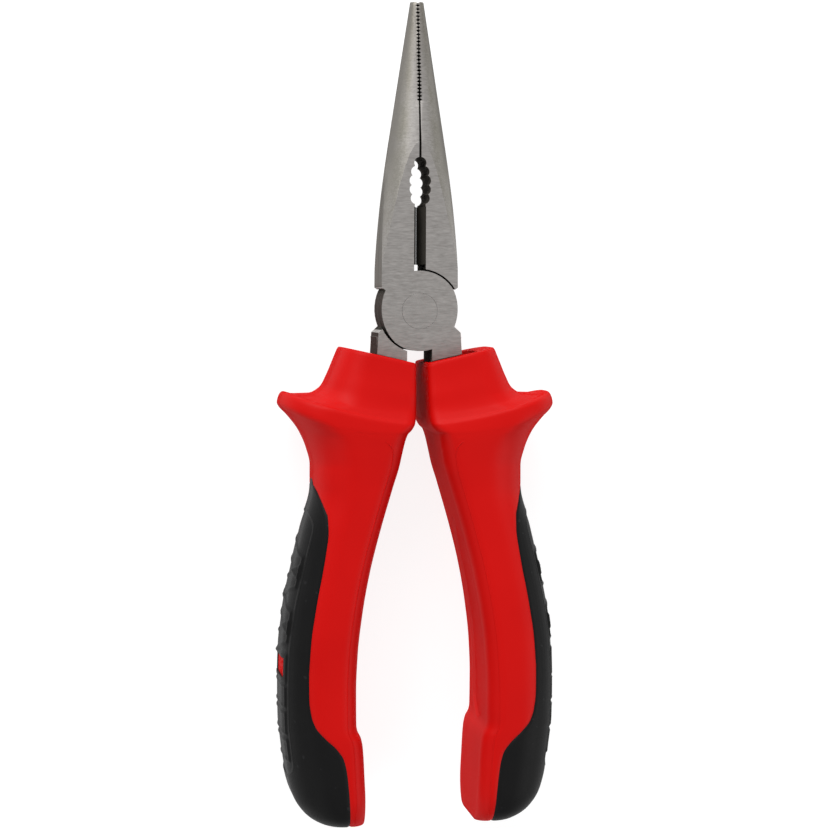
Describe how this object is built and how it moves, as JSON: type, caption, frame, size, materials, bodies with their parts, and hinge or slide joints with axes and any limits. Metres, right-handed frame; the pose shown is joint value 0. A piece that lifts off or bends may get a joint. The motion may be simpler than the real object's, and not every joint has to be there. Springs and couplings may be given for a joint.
{
  "type": "long-nose pliers",
  "caption": "Long-nose side-cutting pliers with half-lap levers on a flush rivet and hard-core, soft-skin grips with finger guards.",
  "frame": {"origin": "on the pivot axis, at the ground back face of the joint", "axes": "+Z along the pivot axis towards the front face, +Y towards the jaw tips, +X towards the right handle"},
  "size_m": [0.0538, 0.1597, 0.022],
  "materials": {
    "forged_steel": "ground and brushed, near-black in the cutter and teeth",
    "rivet_steel": "ground flush",
    "red_plastic": "hard moulded plastic, satin",
    "black_soft_plastic": "soft overmoulded elastomer, matt"
  },
  "bodies": {
    "rear_half": {"rear_lever": "forged_steel", "pivot_rivet": "rivet_steel", "left_grip_core": "red_plastic", "left_grip_skin": "black_soft_plastic"},
    "front_half": {"front_lever": "forged_steel", "right_grip_core": "red_plastic", "right_grip_skin": "black_soft_plastic"}
  },
  "joints": [
    {"name": "pivot", "type": "hinge", "parent": "rear_half", "child": "front_half", "pos_m": [0, 0, 0.0045], "axis": [0, 0, 1], "range_deg": [0, 50]}
  ]
}
